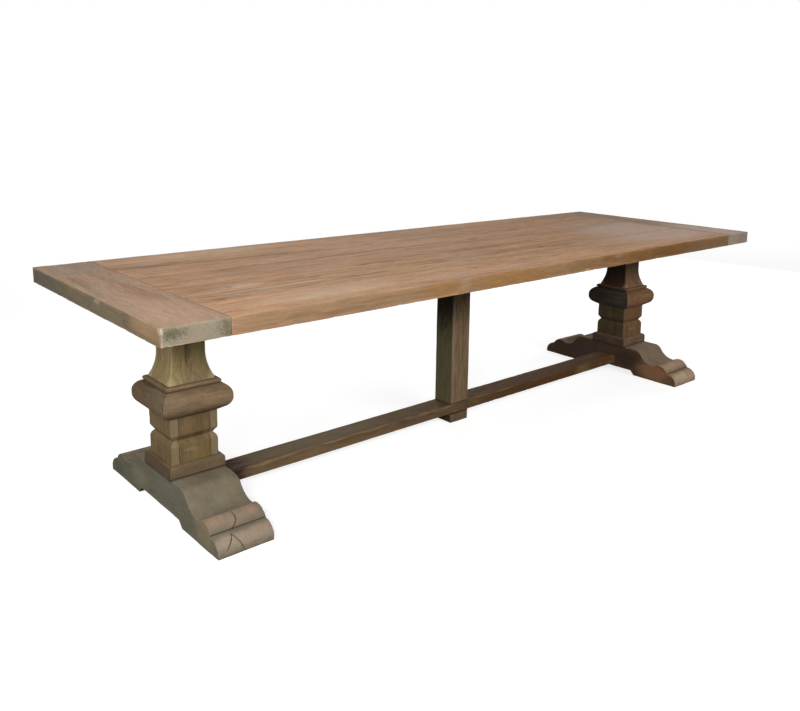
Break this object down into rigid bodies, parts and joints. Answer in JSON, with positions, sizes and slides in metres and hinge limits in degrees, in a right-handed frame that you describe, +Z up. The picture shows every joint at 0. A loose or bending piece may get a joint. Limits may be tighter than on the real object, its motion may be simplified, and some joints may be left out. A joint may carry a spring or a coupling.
{
  "type": "refectory table",
  "caption": "Long boarded table with breadboard ends on moulded square pedestals with sled feet, tied by a low stretcher that is halved into a centre post.",
  "frame": {"origin": "on the floor under the middle of the top", "axes": "+X along the table, +Y across it, away from the front edge, +Z up"},
  "size_m": [3, 1.03, 0.75],
  "materials": {
    "top_wood": "raw, weathered, pinkish tan",
    "end_wood": "raw, weathered, grey end grain",
    "pedestal_wood": "raw, olive brown",
    "foot_wood": "raw, grey brown",
    "rail_wood": "raw, dark brown",
    "frame_wood": "sawn",
    "peg_wood": "planed",
    "steel": "dull zinc"
  },
  "bodies": {
    "root": {"top_board_1": "top_wood", "top_board_2": "top_wood", "top_board_3": "top_wood", "top_board_4": "top_wood", "top_board_5": "top_wood", "top_board_6": "top_wood", "top_board_7": "top_wood", "breadboard_end_left": "end_wood", "breadboard_end_right": "end_wood", "bearer_left": "frame_wood", "bearer_centre": "frame_wood", "bearer_right": "frame_wood", "foot_left": "foot_wood", "core_post_left": "frame_wood", "shaft_board_front_left": "pedestal_wood", "plinth_front_left": "pedestal_wood", "torus_front_left": "pedestal_wood", "shaft_board_back_left": "pedestal_wood", "plinth_back_left": "pedestal_wood", "torus_back_left": "pedestal_wood", "shaft_board_inner_left": "pedestal_wood", "plinth_inner_left": "pedestal_wood", "torus_inner_left": "pedestal_wood", "shaft_board_outer_left": "pedestal_wood", "plinth_outer_left": "pedestal_wood", "torus_outer_left": "pedestal_wood", "bead_plate_left": "pedestal_wood", "neck_left": "pedestal_wood", "foot_right": "foot_wood", "core_post_right": "frame_wood", "shaft_board_front_right": "pedestal_wood", "plinth_front_right": "pedestal_wood", "torus_front_right": "pedestal_wood", "shaft_board_back_right": "pedestal_wood", "plinth_back_right": "pedestal_wood", "torus_back_right": "pedestal_wood", "shaft_board_inner_right": "pedestal_wood", "plinth_inner_right": "pedestal_wood", "torus_inner_right": "pedestal_wood", "shaft_board_outer_right": "pedestal_wood", "plinth_outer_right": "pedestal_wood", "torus_outer_right": "pedestal_wood", "bead_plate_right": "pedestal_wood", "neck_right": "pedestal_wood", "stretcher": "rail_wood", "centre_post": "rail_wood", "breadboard_pegs": "peg_wood", "stretcher_pegs": "peg_wood", "lap_pegs": "peg_wood", "bearer_screws": "steel", "moulding_pins": "steel", "foot_coach_screws": "steel", "foot_washers": "steel"}
  },
  "joints": []
}
